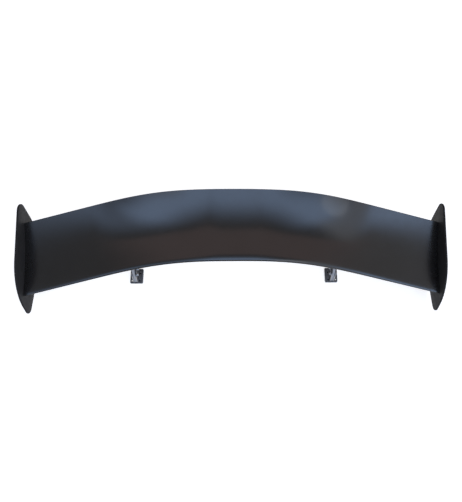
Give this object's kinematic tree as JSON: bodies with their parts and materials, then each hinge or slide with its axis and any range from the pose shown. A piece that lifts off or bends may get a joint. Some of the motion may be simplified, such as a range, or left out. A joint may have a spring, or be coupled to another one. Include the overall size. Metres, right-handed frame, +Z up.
{
  "type": "racing rear wing",
  "caption": "Arched and twisted hollow black rear wing between two leaf-shaped end plates, carried ahead of its middle on two uprights with bolted feet; the blade tilts and locks in arc slots.",
  "frame": {"origin": "centre of the foot bolt pattern, on the underside of the foot gaskets, midway between the two stands", "axes": "+X along the span, towards the right of someone in front of the wing who looks rearward; +Y rearward, from leading to trailing edge; +Z up. Nodes named left are on the -X side."},
  "size_m": [1.709, 0.4774, 0.2534],
  "materials": {
    "blade_black": "moulded laminate under satin black lacquer",
    "plate_black": "satin black sheet",
    "laminate": "glass laminate",
    "rib_resin": "filled resin casting",
    "brass_insert": "turned",
    "aluminium_block": "milled",
    "stand_aluminium": "brushed, clear anodised",
    "bracket_black": "black powder coat",
    "zinc_steel": "zinc plated",
    "black_steel": "black oxide",
    "black_nylon": "moulded",
    "gasket_rubber": "moulded sheet"
  },
  "bodies": {
    "stands": {"upright_left": "stand_aluminium", "upright_right": "stand_aluminium", "foot_left": "stand_aluminium", "foot_right": "stand_aluminium", "foot_bolts_left": "zinc_steel", "foot_bolts_right": "zinc_steel", "foot_nuts_left": "zinc_steel", "foot_nuts_right": "zinc_steel", "foot_gasket_left": "gasket_rubber", "foot_gasket_right": "gasket_rubber"},
    "wing": {"upper_skin": "blade_black", "lower_skin": "blade_black", "front_spar": "laminate", "rear_spar": "laminate", "tip_rib_left": "rib_resin", "tip_rib_right": "rib_resin", "rib_inserts_left": "brass_insert", "rib_inserts_right": "brass_insert", "hardpoint_left": "aluminium_block", "hardpoint_right": "aluminium_block", "end_plate_left": "plate_black", "end_plate_right": "plate_black", "end_plate_washers_left": "black_nylon", "end_plate_washers_right": "black_nylon", "end_plate_screws_left": "black_steel", "end_plate_screws_right": "black_steel", "wing_bracket_left": "bracket_black", "wing_bracket_right": "bracket_black", "bracket_screws_left": "black_steel", "bracket_screws_right": "black_steel", "pivot_bolt_left": "zinc_steel", "pivot_bolt_right": "zinc_steel", "pivot_washers_left": "zinc_steel", "pivot_washers_right": "zinc_steel", "pivot_nut_left": "zinc_steel", "pivot_nut_right": "zinc_steel", "lock_bolt_left": "zinc_steel", "lock_bolt_right": "zinc_steel", "lock_washers_left": "zinc_steel", "lock_washers_right": "zinc_steel", "lock_nut_left": "zinc_steel", "lock_nut_right": "zinc_steel"}
  },
  "joints": [
    {"name": "wing_tilt", "type": "hinge", "parent": "stands", "child": "wing", "pos_m": [0, 0.066, 0.12], "axis": [1, 0, 0], "range_deg": [-6, 10]}
  ]
}
